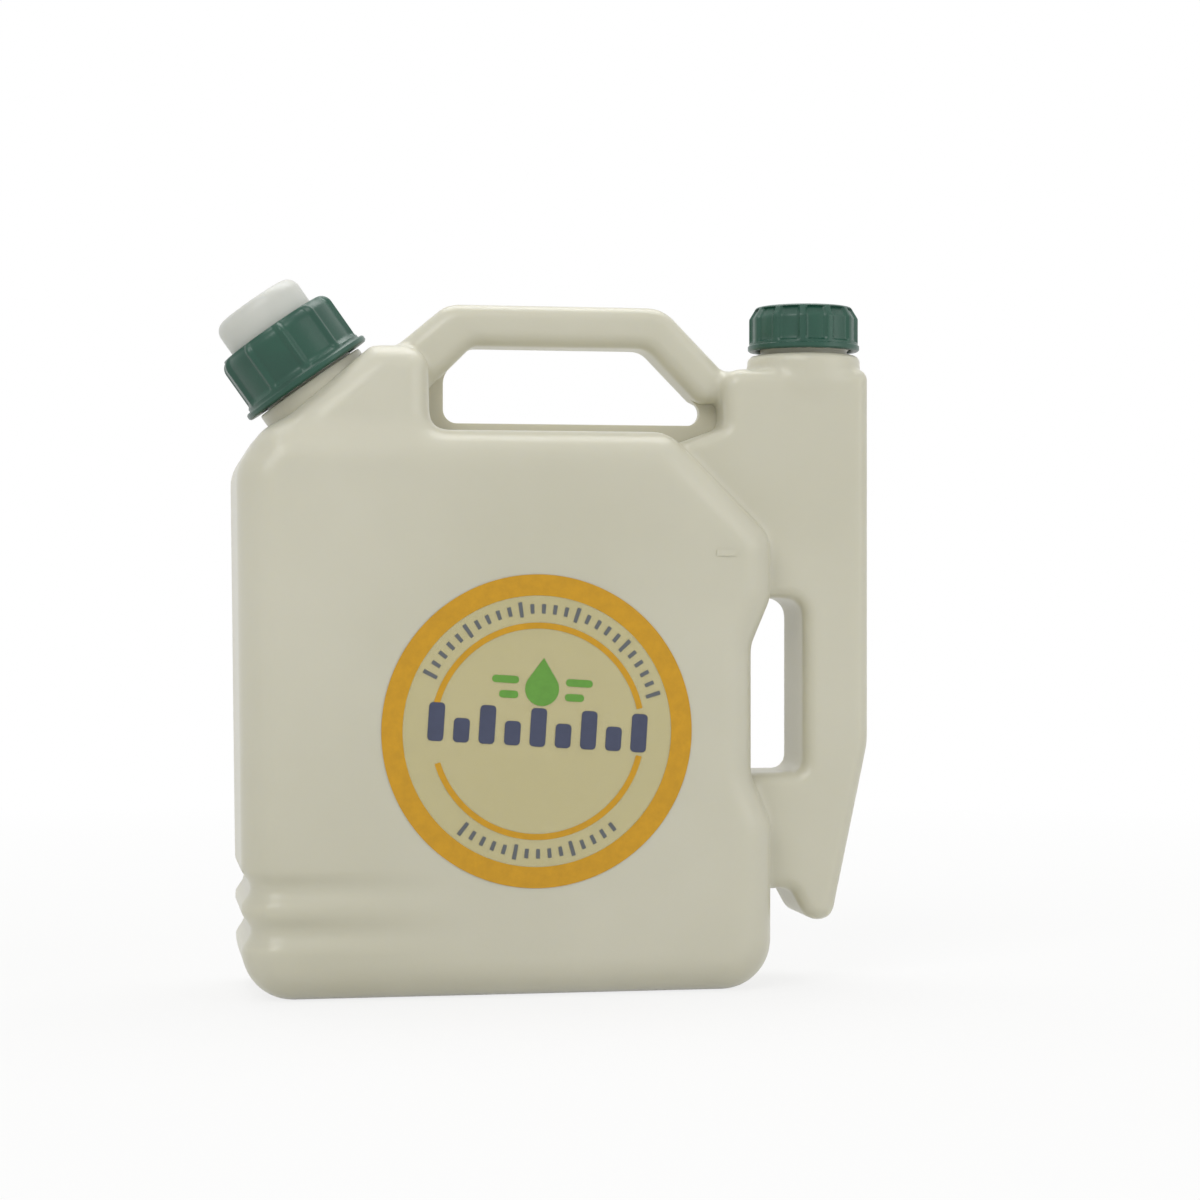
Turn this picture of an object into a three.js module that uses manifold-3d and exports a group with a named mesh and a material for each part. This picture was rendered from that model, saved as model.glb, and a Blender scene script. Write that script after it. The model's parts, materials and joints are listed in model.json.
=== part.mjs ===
// Two-stroke fuel mixing bottle: a blow-moulded tank with a tilted pouring neck, a hollow
// handle and a tapered oil measuring chamber, closed by a screw ring with a capped spout
// and by a small screw cap. Millimetres, +Z up, origin at the middle of the tank's base,
// tank to the left, oil chamber to the right (+X), printed face towards -Y.
import * as THREE from 'three';
import { mergeVertices } from 'three/addons/utils/BufferGeometryUtils.js';
import Module from 'manifold-3d';

const wasm = await Module();
wasm.setup();

// Driving dimensions

const seatGap = 0.3;           // running gap between pieces that seat on each other
const wall = 1.7;              // blown wall of the whole body

const tank = {
  width: 191,
  depth: 76,
  height: 200,
  middleX: -17.7,              // its middle, left of the origin
  corner: 14,                  // upright edges, seen from above
  edge: 14,                    // top edges, front and back
  foot: 18,                    // bottom edges all round
  draft: 2.2,                  // how much narrower the left side is at the base
  chamferRise: 37,             // cut-off corner above the oil chamber web, height
  chamferRun: 37.5,             // and width
  recess: 7.2,                 // finger recess in the right side, depth
  recessBottom: 68.5,
  recessTop: 68,               // below the tank's top
  recessRamp: 17,
};

const shoulder = {             // slanted shoulder that carries the pouring neck
  start: 14,                   // below the tank's top, where the left side leans in
  slope: 41.1,                  // degrees above the horizontal, under the neck
  crest: 30.4,                 // rise of its crest above the tank
  right: 67.9,                 // distance of its right flank from the tank's left side
  flankRound: 10,
};

const grooves = {              // grip grooves round the lower left corner
  heights: [39.5, 24.5],
  width: 13,
  depth: 3.2,
  fade: 120,                   // distance along the face over which they run out
};

const neck = {                 // pouring neck
  tilt: 35.4,                  // degrees from the vertical, leaning left
  fromLeft: 26.8,             // foot of its screw ring from the tank's left side
  above: 18.6,                 // and above the tank's top
  bore: 15.4,
  root: 17.8,
  flare: 21.4,
  flareDrop: 8,
  length: 16.2,                // lip above the foot of the screw ring
};

const handle = {
  depth: 24,
  round: 6,
  top: 46.3,                   // above the tank's top
  bar: 15,                   // height of the grip bar
  topLeft: 76.2,               // corners, from the tank's left side
  topRight: 155.1,
  leftSlope: 39.8,
  rightSlope: 45,
};

const gripSlot = {             // opening under the grip bar
  left: 75.2,                  // from the tank's left side
  right: 176.1,
  floor: 3.8,                  // above the tank's top
  leftCut: 10,
  rightCut: 27,
  round: 5,
};

const chamber = {              // oil measuring chamber with its webs
  depth: 38,
  round: 5,
  width: 24.3,
  gap: 14.9,                    // between the tank's side and the chamber's column
  webTop: 23.7,                // above the tank's top
  webLeft: 175.4,                // from the tank's left side
  tip: 23,                   // lowest point above the floor
  tipRound: 6.6,
  tipWidth: 9.2,
  tipLeft: 1.5,                // tip's left side inside the column's left side
  taperStart: 87.5,
  webFoot: 34.7,
  slotFloor: 76.9,
  slotRoof: 59.5,              // below the tank's top
};

const collar = {               // round shoulder under the oil neck
  radius: 20.8,
  inFromRight: 20.4,           // axis, from the column's right side
  rise: 6.4,                   // above the web's top
  round: 2.6,
  fade: 22,                    // how far it sinks into the chamber's faces
};

const oilNeck = {
  root: 16,
  bore: 13.8,
  length: 13.8,
};

const fin = { thickness: 3.2, inset: 10 };  // flat pinched web round the grip slot
// raised mark on the front, its place from the tank's right side and top
const levelMark = { width: 7, height: 2.2, rise: 0.4, inFromRight: 18.9, below: 44.5 };

const ring = {                 // green screw ring on the pouring neck
  height: 22.6,
  radius: 23.6,
  lipRadius: 25.4,
  lipHeight: 2.4,
  topRound: 4.4,
  hole: 17.3,
  threadClear: 2.3,            // skirt's inside over the neck's root
  land: 2.1,
  scallops: 12,
  scallopDepth: 1.1,
  scallopWidth: 9.4,
};

const spout = {
  flange: 19.5,
  flangeThick: 2,
  tube: 14.4,
  bore: 12.8,
  plugLength: 9.2,
  plugWall: 1.6,
  tubeRise: 12,
};

const gasket = { thickness: 1.4, radius: 19.2 };

const spoutCap = { wall: 2.1, crown: 2, round: 4.6, fitGap: 0.4 };

const oilCap = {
  height: 16.2,
  radius: 20.1,
  lipRadius: 20.6,
  lipHeight: 2.6,
  topRound: 3.6,
  crown: 2.3,
  threadClear: 1.7,
  standOff: 1.7,               // skirt above the collar
  scallops: 12,
  scallopDepth: 1,
  scallopWidth: 7.6,
};

const liner = { thickness: 1.2, sideGap: 0.8 };

const label = { radius: 55, thickness: 0.3, x: -8.8, z: 93.8, gap: 0.1 };

// Worked-out places

const leftSide = tank.middleX - tank.width / 2;
const rightSide = tank.middleX + tank.width / 2;
const halfDepth = tank.depth / 2;
const columnLeft = rightSide + chamber.gap;
const columnRight = columnLeft + chamber.width;
const webTopHeight = tank.height + chamber.webTop;
const shoulderStart = tank.height - shoulder.start;
const recessTopHeight = tank.height - tank.recessTop;
const slotRoofHeight = tank.height - chamber.slotRoof;
const collarTop = webTopHeight + collar.rise;
const oilAxisX = columnRight - collar.inFromRight;
const crestHeight = tank.height + shoulder.crest;
const degree = Math.PI / 180;

// Solids in and out of the boolean library

function toSolid(geometry) {
  const plain = geometry.clone();
  plain.deleteAttribute('normal');
  plain.deleteAttribute('uv');
  const merged = mergeVertices(plain, 1e-4);
  return new wasm.Manifold(new wasm.Mesh({
    numProp: 3,
    vertProperties: new Float32Array(merged.attributes.position.array),
    triVerts: new Uint32Array(merged.index.array),
  }));
}

function toGeometry(solid) {
  const { vertProperties, triVerts, numProp } = solid.getMesh();
  const positions = new Float32Array((vertProperties.length / numProp) * 3);
  for (let i = 0; i < positions.length / 3; i++) {
    for (let k = 0; k < 3; k++) positions[3 * i + k] = vertProperties[numProp * i + k];
  }
  const geometry = new THREE.BufferGeometry();
  geometry.setAttribute('position', new THREE.BufferAttribute(positions, 3));
  geometry.setIndex(new THREE.BufferAttribute(new Uint32Array(triVerts), 1));
  geometry.computeVertexNormals();
  return geometry;
}

function unite(solids) {
  return solids.reduce((sum, next) => sum.add(next));
}

function cutAll(body, cutters) {
  return cutters.reduce((rest, cutter) => rest.subtract(cutter), body);
}

// Flat outlines in the X-Z plane, as corners [x, z, fillet radius]

function cornerAngles([px, pz], [cx, cz], [nx, nz]) {
  const back = new THREE.Vector2(px - cx, pz - cz);
  const ahead = new THREE.Vector2(nx - cx, nz - cz);
  const edge = ahead.length();
  back.normalize();
  ahead.normalize();
  return { back, ahead, edge, half: Math.acos(THREE.MathUtils.clamp(back.dot(ahead), -1, 1)) / 2 };
}

const filletGap = 1.2;

// Rounds every corner; where two fillets meet on a short edge they share its length
function filleted(corners) {
  const at = (i) => corners[(i + corners.length) % corners.length];
  const turns = corners.map((corner, i) => cornerAngles(at(i - 1), corner, at(i + 1)));
  const wanted = turns.map(({ half }, i) => (half > 1.55 ? 0 : corners[i][2] / Math.tan(half)));
  const share = (i, j, edge) => Math.min(1, (edge - filletGap) / (wanted[i] + wanted[j] + 1e-9));
  return corners.flatMap(([cx, cz], i) => {
    const before = (i - 1 + corners.length) % corners.length;
    const after = (i + 1) % corners.length;
    const { back, ahead, half } = turns[i];
    const reach = wanted[i] * Math.min(share(before, i, turns[before].edge), share(i, after, turns[i].edge));
    const corner = new THREE.Vector2(cx, cz);
    if (reach < 1e-3) return [corner];
    const round = reach * Math.tan(half);
    const middle = back.clone().add(ahead).normalize().multiplyScalar(round / Math.sin(half)).add(corner);
    const start = back.clone().multiplyScalar(reach).add(corner).sub(middle);
    const end = ahead.clone().multiplyScalar(reach).add(corner).sub(middle);
    const sweep = Math.atan2(start.x * end.y - start.y * end.x, start.dot(end));
    const steps = Math.max(2, Math.ceil(Math.abs(sweep) / (18 * degree)));
    return Array.from({ length: steps + 1 }, (_, k) => (
      start.clone().rotateAround(new THREE.Vector2(), (sweep * k) / steps).add(middle)
    ));
  });
}

// Moves every edge of a counter-clockwise outline inwards and meets the edges again
function insetCorners(corners, distance) {
  const edgeLine = (a, b) => {
    const along = new THREE.Vector2(b[0] - a[0], b[1] - a[1]).normalize();
    const point = new THREE.Vector2(a[0] - along.y * distance, a[1] + along.x * distance);
    return { along, point };
  };
  return corners.map((corner, i) => {
    const before = edgeLine(corners.at(i - 1), corner);
    const after = edgeLine(corner, corners[(i + 1) % corners.length]);
    const turn = before.along.cross(after.along);
    const t = after.point.clone().sub(before.point).cross(after.along) / turn;
    const radius = Math.max(0.4, turn > 0 ? corner[2] - distance : corner[2] + distance);
    return [before.point.x + before.along.x * t, before.point.y + before.along.y * t, radius];
  });
}

// A plate of the given outline across the parting plane, its long edges rounded
function plate(corners, depth, round, steps, holes = []) {
  const shape = new THREE.Shape(filleted(corners));
  shape.holes = holes.map((hole) => new THREE.Path(filleted(hole)));
  const geometry = new THREE.ExtrudeGeometry(shape, {
    depth: depth - 2 * round,
    bevelEnabled: round > 0,
    bevelThickness: round,
    bevelSize: round,
    bevelOffset: -round,
    bevelSegments: steps,
  });
  geometry.translate(0, 0, -(depth - 2 * round) / 2);
  geometry.rotateX(Math.PI / 2);
  return toSolid(geometry);
}

// Turned solid about +Z from [radius, height] points that start and end on the axis
function turned(points, segments = 36) {
  const geometry = new THREE.LatheGeometry(points.map(([r, z]) => new THREE.Vector2(r, z)), segments);
  geometry.rotateX(Math.PI / 2);
  return toSolid(geometry);
}

function quarterRound(centreRadius, centreHeight, round, steps = 5) {
  return Array.from({ length: steps + 1 }, (_, i) => {
    const angle = (i / steps) * (Math.PI / 2);
    return [centreRadius + round * Math.cos(angle), centreHeight + round * Math.sin(angle)];
  });
}

// Body lofted through level sections

function smoothStep(from, to, value) {
  return THREE.MathUtils.smoothstep(value, from, to);
}

function softMin(a, b, blend) {
  const share = THREE.MathUtils.clamp(0.5 + (b - a) / (2 * blend), 0, 1);
  return b + (a - b) * share - blend * share * (1 - share);
}

function roundInset(distanceFromEdge, radius) {
  if (distanceFromEdge >= radius) return 0;
  const reach = radius - Math.max(distanceFromEdge, 0);
  return radius - Math.sqrt(radius * radius - reach * reach);
}

// One level section: a rounded rectangle, counter-clockwise from above
function sectionPoints({ left, right, halfY, corner }, stepsPerCorner = 5) {
  const radius = Math.max(0.2, Math.min(corner, halfY - 0.1, (right - left) / 2 - 0.1));
  const centres = [
    [right - radius, halfY - radius], [left + radius, halfY - radius],
    [left + radius, radius - halfY], [right - radius, radius - halfY],
  ];
  return centres.flatMap(([cx, cy], quarter) => (
    Array.from({ length: stepsPerCorner + 1 }, (_, i) => {
      const angle = (quarter + i / stepsPerCorner) * (Math.PI / 2);
      return [cx + radius * Math.cos(angle), cy + radius * Math.sin(angle), angle];
    })
  ));
}

function loft(levels, sectionAt, shift = () => 0) {
  const rings = levels.map((z) => sectionPoints(sectionAt(z)).map(([x, y, angle]) => {
    const inward = shift(x, z);
    return [x - inward * Math.cos(angle), y - inward * Math.sin(angle), z];
  }));
  const count = rings[0].length;
  const positions = rings.flat(2);
  const triangles = [];
  for (let level = 0; level < rings.length - 1; level++) {
    for (let i = 0; i < count; i++) {
      const a = level * count + i;
      const b = level * count + ((i + 1) % count);
      triangles.push(a, b, b + count, a, b + count, a + count);
    }
  }
  const lastRing = (rings.length - 1) * count;
  for (let i = 1; i < count - 1; i++) {
    triangles.push(0, i + 1, i);
    triangles.push(lastRing, lastRing + i, lastRing + i + 1);
  }
  const geometry = new THREE.BufferGeometry();
  geometry.setAttribute('position', new THREE.Float32BufferAttribute(positions, 3));
  geometry.setIndex(triangles);
  return toSolid(geometry);
}

// Heights from bottom to top, closer together in the rounded stretches at both ends
function levelsBetween(bottom, top, bottomRound, topRound, between) {
  const quarter = [0, 0.16, 0.36, 0.58, 0.8].map((share) => 1 - Math.cos(share * Math.PI / 2));
  const low = quarter.map((share) => bottom + share * bottomRound);
  const high = quarter.map((share) => top - share * topRound).reverse();
  return [...low, ...between.filter((z) => z > low.at(-1) + 0.6 && z < high[0] - 0.6), ...high];
}

function recessDepth(z) {
  const ramp = tank.recessRamp / 2;
  return tank.recess
    * smoothStep(tank.recessBottom - ramp, tank.recessBottom + ramp, z)
    * (1 - smoothStep(recessTopHeight - ramp, recessTopHeight + ramp, z));
}

function tankSection(inset) {
  const bottom = inset;
  const top = tank.height - inset;
  return (z) => {
    const rounding = Math.max(
      roundInset(z - bottom, tank.foot - inset), roundInset(top - z, tank.edge - inset),
    );
    const steep = tank.chamferRun / tank.chamferRise;
    const cut = rightSide - (z - (tank.height - tank.chamferRise)) * steep - inset * 0.4;
    const lean = leftSide + (z - shoulderStart) / Math.tan(47 * degree) + inset * 0.4;
    const draft = tank.draft * (1 - smoothStep(0, tank.height, z));
    return {
      left: -softMin(-leftSide - draft, -lean, 6) + inset + rounding,
      right: softMin(rightSide, cut, 6) - recessDepth(z) - inset - rounding,
      halfY: halfDepth - inset - rounding,
      corner: tank.corner - inset,
    };
  };
}

function grooveDepth(x, z) {
  const sink = grooves.heights.reduce((sum, height) => (
    sum + Math.max(0, Math.cos(THREE.MathUtils.clamp((z - height) / grooves.width, -0.5, 0.5) * Math.PI)) ** 1.4
  ), 0);
  const share = 1 - smoothStep(leftSide, leftSide + grooves.fade, x);
  return grooves.depth * sink * share * share;
}

function tankForm(inset) {
  const grooveLevels = grooves.heights.flatMap((height) => (
    [0.5, 0.25, 0, -0.25, -0.5].map((share) => height - share * grooves.width)
  ));
  const between = [
    ...grooveLevels,
    ...[0.5, 0.25, 0, -0.25, -0.5].map((share) => tank.recessBottom - share * tank.recessRamp),
    ...[0.5, 0.25, 0, -0.25, -0.5].map((share) => recessTopHeight - share * tank.recessRamp),
    ...[-6, -2, 2, 6, 14].map((step) => tank.height - tank.chamferRise + step),
  ].sort((a, b) => a - b);
  const levels = levelsBetween(inset, tank.height - inset, tank.foot, tank.edge, between);
  return loft(levels, tankSection(inset), grooveDepth);
}

function shoulderSection(inset) {
  const top = crestHeight - inset;
  const slant = 1 / Math.tan(shoulder.slope * degree);
  const flank = leftSide + shoulder.right;
  return (z) => {
    const rise = (z - tank.height) / (crestHeight - tank.height);
    const left = leftSide + 13.4 + (z - tank.height) * slant + inset * 1.6;
    const under = leftSide + (z - shoulderStart) / Math.tan(47 * degree) + inset * 1.4;
    const foot = 7 * (1 - smoothStep(0, 0.4, rise)) ** 2;
    const rounding = roundInset(top - z, shoulder.flankRound);
    const narrowing = rise < -0.4 ? 0 : 15.5 * ((rise + 0.4) / 1.4) ** 1.25;
    return {
      left: Math.max(leftSide + inset + 1, z < tank.height ? under : left),
      right: flank + foot - inset - rounding,
      halfY: halfDepth - 0.5 - inset - narrowing - rounding * 0.7,
      corner: 30,
    };
  };
}

function shoulderForm(inset) {
  const bottom = shoulderStart - 12;
  const top = crestHeight - inset;
  const between = Array.from({ length: 12 }, (_, i) => bottom + 4 + i * 3.2);
  return loft(levelsBetween(bottom, top, 2, shoulder.flankRound, between), shoulderSection(inset));
}

// Outlines of the handle, grip slot, oil chamber and pinched fin

function gripSlotCorners() {
  const floor = tank.height + gripSlot.floor;
  const roof = tank.height + handle.top - handle.bar;
  const left = leftSide + gripSlot.left;
  const right = leftSide + gripSlot.right;
  return [
    [left, floor, gripSlot.round],
    [right, floor, gripSlot.round - 0.5],
    [right - gripSlot.rightCut, roof, 8],
    [left + gripSlot.leftCut, roof, 6],
    [left, roof - gripSlot.leftCut, 8],
  ];
}

function handleCorners() {
  const top = tank.height + handle.top;
  const leftTop = leftSide + handle.topLeft;
  const rightTop = leftSide + handle.topRight;
  const [, slotRight, slotRoofRight, slotRoofLeft, slotLeft] = gripSlotCorners();
  const down = new THREE.Vector2(slotRight[0] - slotRoofRight[0], slotRight[1] - slotRoofRight[1]);
  const legInner = new THREE.Vector2(...slotRoofRight).addScaledVector(down, 0.82);
  down.normalize();
  const legStart = new THREE.Vector2(rightTop, top);
  const legOuter = legStart.clone().addScaledVector(down, legInner.clone().sub(legStart).dot(down));
  const drop = 30;
  return [
    [leftTop - drop / Math.tan(handle.leftSlope * degree), top - drop, 7.5],
    [slotLeft[0] - 19.3, slotLeft[1] - 18, 7.5],
    slotLeft,
    slotRoofLeft,
    slotRoofRight,
    [legInner.x, legInner.y, 7.5],
    [legOuter.x, legOuter.y, 7.5],
    [rightTop, top, 14],
    [leftTop, top, 12],
  ];
}

function chamberCorners() {
  const [, slotTip] = gripSlotCorners();
  const inside = rightSide - 9;
  const chamferFoot = tank.height - tank.chamferRise;
  const tipLeft = columnLeft + chamber.tipLeft;
  return [
    [inside, chamber.webFoot, 7],
    [columnLeft - 5, chamber.webFoot, 5],
    [tipLeft, chamber.tip, chamber.tipRound],
    [tipLeft + chamber.tipWidth, chamber.tip, chamber.tipRound],
    [columnRight, chamber.taperStart, 30],
    [columnRight, webTopHeight, 8],
    [leftSide + chamber.webLeft, webTopHeight, 6.8],
    [slotTip[0] + 0.5, slotTip[1] - 1, 4],
    [rightSide - tank.chamferRun - 12, tank.height - 10, 7],
    [inside, chamferFoot - 6, 7],
    [inside, slotRoofHeight, 6.8],
    [columnLeft, slotRoofHeight, 7],
    [columnLeft, chamber.slotFloor, 5],
    [inside, chamber.slotFloor, 6.8],
  ];
}

function chamberForm(inset) {
  const corners = insetCorners(chamberCorners(), inset);
  return plate(corners, chamber.depth - 2 * inset, chamber.round - inset, 3);
}

function handleForm(inset) {
  const corners = insetCorners(handleCorners(), inset);
  return plate(corners, handle.depth - 2 * inset, handle.round - inset, 3);
}

function finForm() {
  const slot = gripSlotCorners();
  const outer = insetCorners(slot, -fin.inset);
  return plate(outer, fin.thickness, 0, 1, [slot]);
}

function onOilAxis(solid, height = 0) {
  return solid.translate(oilAxisX, 0, height);
}

function collarForm(inset) {
  const radius = collar.radius - inset;
  const round = collar.round;
  const top = collarTop - inset;
  const points = [
    [0, collarTop - collar.rise - collar.fade],
    [radius - 8, collarTop - collar.rise - collar.fade],
    [radius, collarTop - collar.rise - 4],
    ...quarterRound(radius - round, top - round, round, 4),
    [0, top],
  ];
  return onOilAxis(turned(points));
}

// Pouring neck and what screws on it are turned upright, then leaned over
function onNeckAxis(solid) {
  return solid
    .rotate(0, -neck.tilt, 0)
    .translate(leftSide + neck.fromLeft, 0, tank.height + neck.above);
}

function neckOuter() {
  return onNeckAxis(turned([
    [0, -16],
    [neck.flare + 1, -16],
    [neck.flare, -neck.flareDrop],
    [neck.flare, -2.6],
    [neck.flare - 1.2, -1.4],
    [neck.root, -1.2],
    [neck.root, neck.length - 0.6],
    [neck.root - 0.6, neck.length],
    [0, neck.length],
  ]));
}

function neckBore() {
  return onNeckAxis(turned([
    [0, -26],
    [neck.flare - wall - 3, -26],
    [neck.flare - wall, -neck.flareDrop - 2],
    [neck.flare - wall, -4.6],
    [neck.bore, -2.4],
    [neck.bore, neck.length + 1],
    [0, neck.length + 1],
  ]));
}

function oilNeckOuter() {
  const top = collarTop + oilNeck.length;
  return onOilAxis(turned([
    [0, collarTop - 4],
    [oilNeck.root, collarTop - 4],
    [oilNeck.root, top - 0.5],
    [oilNeck.root - 0.5, top],
    [0, top],
  ]));
}

function oilNeckBore() {
  return onOilAxis(turned([
    [0, webTopHeight - 8],
    [oilNeck.bore, webTopHeight - 8],
    [oilNeck.bore, collarTop + oilNeck.length + 1],
    [0, collarTop + oilNeck.length + 1],
  ]));
}

function makeBottle() {
  const tankOuter = tankForm(0);
  const shoulderOuter = shoulderForm(0);
  const markX = rightSide - levelMark.inFromRight;
  const mark = toSolid(new THREE.BoxGeometry(levelMark.width, levelMark.rise * 2, levelMark.height))
    .translate(markX, -halfDepth, tank.height - levelMark.below);
  const outside = unite([
    tankOuter, shoulderOuter, handleForm(0), chamberForm(0), finForm(),
    collarForm(0), neckOuter(), oilNeckOuter(), mark,
  ]);
  const oilHollow = unite([chamberForm(wall), collarForm(wall)]).subtract(tankOuter);
  const tankHollow = unite([tankForm(wall), shoulderForm(wall)]);
  return cutAll(outside, [tankHollow, handleForm(wall), oilHollow, neckBore(), oilNeckBore()]);
}

// Upright grooves round a cap, from just above its lip to its top edge
function scallopCutters(count, radius, depth, width, bottom, top) {
  const round = (depth * depth + (width / 2) ** 2) / (2 * depth);
  const bar = turned([[0, bottom], [round, bottom], [round, top], [0, top]], 40)
    .translate(radius - depth + round, 0, 0);
  return Array.from({ length: count }, (_, i) => bar.rotate(0, 0, ((i + 0.5) * 360) / count));
}

function makeRing() {
  const inside = neck.root + ring.threadClear;
  const body = turned([
    [0, 0],
    [ring.lipRadius - 0.6, 0],
    [ring.lipRadius, 0.6],
    [ring.lipRadius, ring.lipHeight - 0.4],
    [ring.lipRadius - 0.4, ring.lipHeight],
    [ring.radius, ring.lipHeight],
    ...quarterRound(ring.radius - ring.topRound, ring.height - ring.topRound, ring.topRound),
    [0, ring.height],
  ], 60);
  const hollow = turned([
    [0, -1],
    [inside, -1],
    [inside, ring.height - ring.land],
    [ring.hole, ring.height - ring.land],
    [ring.hole, ring.height + 1],
    [0, ring.height + 1],
  ], 60);
  const flutes = scallopCutters(
    ring.scallops, ring.radius, ring.scallopDepth, ring.scallopWidth,
    ring.lipHeight + 1.4, ring.height + 1,
  );
  return onNeckAxis(cutAll(body, [hollow, ...flutes]));
}

const flangeBottom = neck.length + seatGap + gasket.thickness + seatGap;

function makeGasket() {
  const bottom = neck.length + seatGap;
  return onNeckAxis(turned([
    [spout.tube - 0.4, bottom],
    [gasket.radius, bottom],
    [gasket.radius, bottom + gasket.thickness],
    [spout.tube - 0.4, bottom + gasket.thickness],
    [spout.tube - 0.4, bottom],
  ]));
}

function makeSpout() {
  const plug = spout.bore + spout.plugWall - 0.5;
  const bottom = flangeBottom - spout.plugLength;
  const flangeTop = flangeBottom + spout.flangeThick;
  const top = flangeTop + spout.tubeRise;
  return onNeckAxis(turned([
    [spout.bore - 0.5, bottom],
    [plug - 0.6, bottom],
    [plug, bottom + 1.2],
    [plug, flangeBottom],
    [spout.flange, flangeBottom],
    [spout.flange, flangeTop],
    [spout.tube, flangeTop],
    [spout.tube, top - 0.6],
    [spout.tube - 0.6, top],
    [spout.bore, top],
    [spout.bore, flangeTop],
    [spout.bore - 0.5, bottom],
  ]));
}

function makeSpoutCap() {
  const bottom = flangeBottom + spout.flangeThick + seatGap;
  const inner = spout.tube + spoutCap.fitGap;
  const outer = inner + spoutCap.wall;
  const ceiling = flangeBottom + spout.flangeThick + spout.tubeRise + seatGap;
  const top = ceiling + spoutCap.crown;
  const round = spoutCap.round;
  return onNeckAxis(turned([
    [0, ceiling],
    [inner - 0.5, ceiling],
    [inner, ceiling - 0.5],
    [inner, bottom],
    [outer, bottom],
    ...quarterRound(outer - round, top - round, round, 6),
    [0, top],
  ]));
}

function makeOilCap() {
  const bottom = collarTop + oilCap.standOff;
  const inside = oilNeck.root + oilCap.threadClear;
  const ceiling = collarTop + oilNeck.length + seatGap + liner.thickness + seatGap;
  const top = ceiling + oilCap.crown;
  const round = oilCap.topRound;
  const body = turned([
    [0, bottom],
    [oilCap.lipRadius, bottom],
    [oilCap.lipRadius, bottom + oilCap.lipHeight],
    [oilCap.radius, bottom + oilCap.lipHeight],
    [oilCap.radius, top - round],
    [oilCap.radius - round * 0.9, top],
    [0, top],
  ], 60);
  const hollow = turned([
    [0, bottom - 1], [inside, bottom - 1], [inside, ceiling], [0, ceiling],
  ], 60);
  const flutes = scallopCutters(
    oilCap.scallops, oilCap.radius, oilCap.scallopDepth, oilCap.scallopWidth,
    bottom + oilCap.lipHeight + 0.6, top + 1,
  );
  return onOilAxis(cutAll(body, [hollow, ...flutes]));
}

function makeLiner() {
  const bottom = collarTop + oilNeck.length + seatGap;
  const radius = oilNeck.root + oilCap.threadClear - liner.sideGap;
  return onOilAxis(turned([
    [0, bottom], [radius, bottom], [radius, bottom + liner.thickness], [0, bottom + liner.thickness],
  ]));
}

function makeLabel() {
  const disc = new THREE.CylinderGeometry(label.radius, label.radius, label.thickness, 96);
  disc.translate(0, -halfDepth - label.gap - label.thickness / 2, 0);
  return toSolid(disc).translate(label.x, 0, label.z);
}

const milky = new THREE.MeshStandardMaterial({ color: 0xe6e4d4, roughness: 0.42, metalness: 0 });
const green = new THREE.MeshStandardMaterial({ color: 0x4d675a, roughness: 0.38, metalness: 0 });
const white = new THREE.MeshStandardMaterial({ color: 0xe4e4dc, roughness: 0.4, metalness: 0 });
const foam = new THREE.MeshStandardMaterial({ color: 0xd8d6cc, roughness: 0.8, metalness: 0 });
const print = new THREE.MeshStandardMaterial({ color: 0xe0c96a, roughness: 0.5, metalness: 0 });

const group = new THREE.Group();
const pieces = [
  ['bottle', makeBottle(), milky],
  ['pour_spout', makeSpout(), white],
  ['spout_gasket', makeGasket(), foam],
  ['neck_ring', makeRing(), green],
  ['spout_cap', makeSpoutCap(), white],
  ['oil_cap_liner', makeLiner(), foam],
  ['oil_cap', makeOilCap(), green],
  ['front_label', makeLabel(), print],
];
for (const [name, solid, material] of pieces) {
  const mesh = new THREE.Mesh(toGeometry(solid), material);
  mesh.name = name;
  group.add(mesh);
}

export default group;
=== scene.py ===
# Looks for the fuel mixing bottle: milky blown body, green screw caps, white spout and
# a round print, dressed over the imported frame. Shapes are worked in millimetres.
import json
import math

import bmesh
import bpy
import numpy as np
from mathutils import Matrix, Vector

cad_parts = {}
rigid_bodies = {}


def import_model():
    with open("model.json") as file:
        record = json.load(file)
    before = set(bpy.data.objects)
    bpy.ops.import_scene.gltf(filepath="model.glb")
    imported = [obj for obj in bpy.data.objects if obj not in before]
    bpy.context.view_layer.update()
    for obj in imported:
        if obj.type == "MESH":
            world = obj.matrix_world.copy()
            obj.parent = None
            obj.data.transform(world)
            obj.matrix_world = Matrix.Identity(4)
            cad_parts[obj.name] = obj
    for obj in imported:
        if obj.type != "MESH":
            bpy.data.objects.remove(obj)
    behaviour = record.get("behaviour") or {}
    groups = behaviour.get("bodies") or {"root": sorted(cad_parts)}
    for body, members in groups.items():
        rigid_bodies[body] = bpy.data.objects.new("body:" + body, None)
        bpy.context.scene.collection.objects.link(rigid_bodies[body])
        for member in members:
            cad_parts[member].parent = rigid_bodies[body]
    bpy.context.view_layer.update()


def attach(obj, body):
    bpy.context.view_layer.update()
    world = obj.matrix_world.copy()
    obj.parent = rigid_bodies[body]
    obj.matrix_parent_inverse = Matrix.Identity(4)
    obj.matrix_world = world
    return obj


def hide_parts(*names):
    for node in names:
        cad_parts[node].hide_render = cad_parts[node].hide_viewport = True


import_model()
mm = 0.001


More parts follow.
